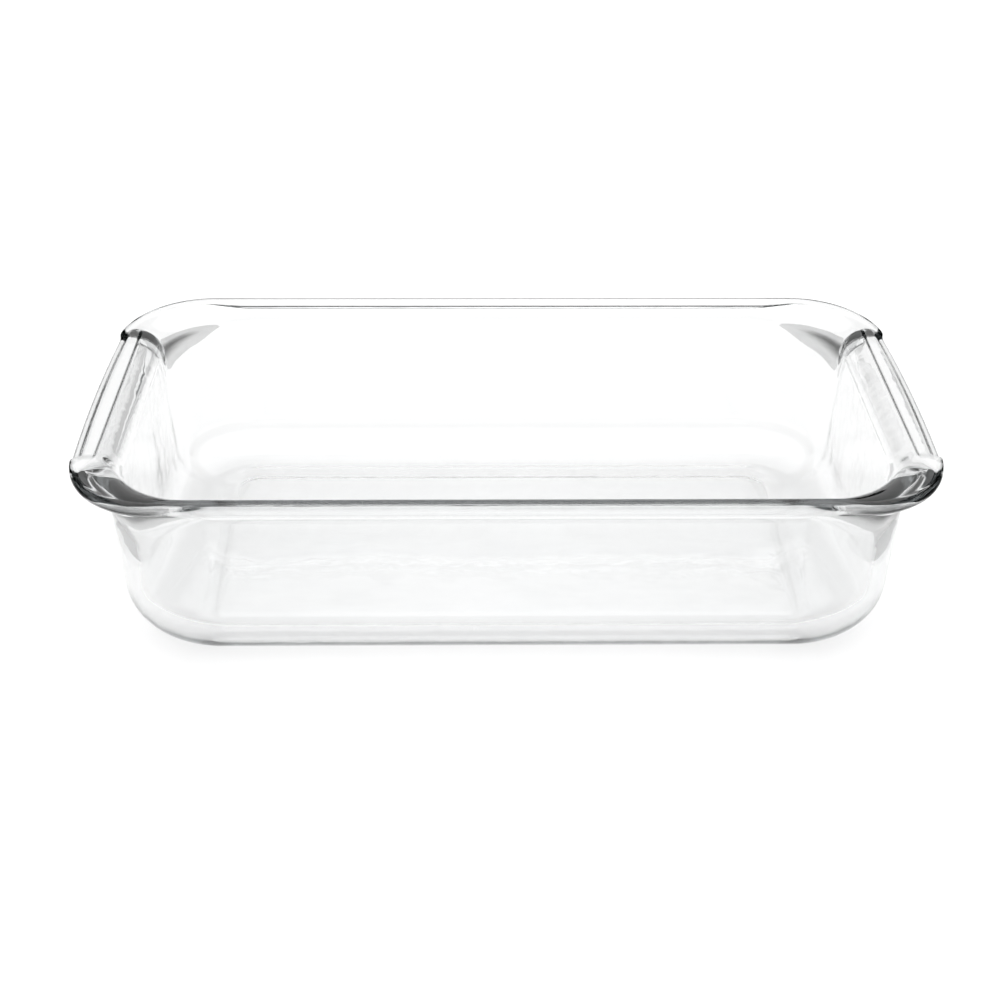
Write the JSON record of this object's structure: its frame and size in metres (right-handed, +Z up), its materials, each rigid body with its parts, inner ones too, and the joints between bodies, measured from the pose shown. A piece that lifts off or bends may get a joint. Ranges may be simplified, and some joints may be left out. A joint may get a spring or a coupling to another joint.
{
  "type": "loaf dish",
  "caption": "Oblong clear pressed-glass loaf dish with rounded corners, sloping walls, a rounded rim and a flat handle flange with a ledge at each end.",
  "frame": {"origin": "middle of the foot, on the surface that the dish stands on", "axes": "+X along the dish from one end handle to the other, +Y across it, +Z up out of its mouth"},
  "size_m": [0.2798, 0.172, 0.063],
  "materials": {
    "clear_glass": "polished, fire-finished pressed glass, colourless with a faint green-grey in thick edges"
  },
  "bodies": {
    "root": {"glass_dish": "clear_glass"}
  },
  "joints": []
}
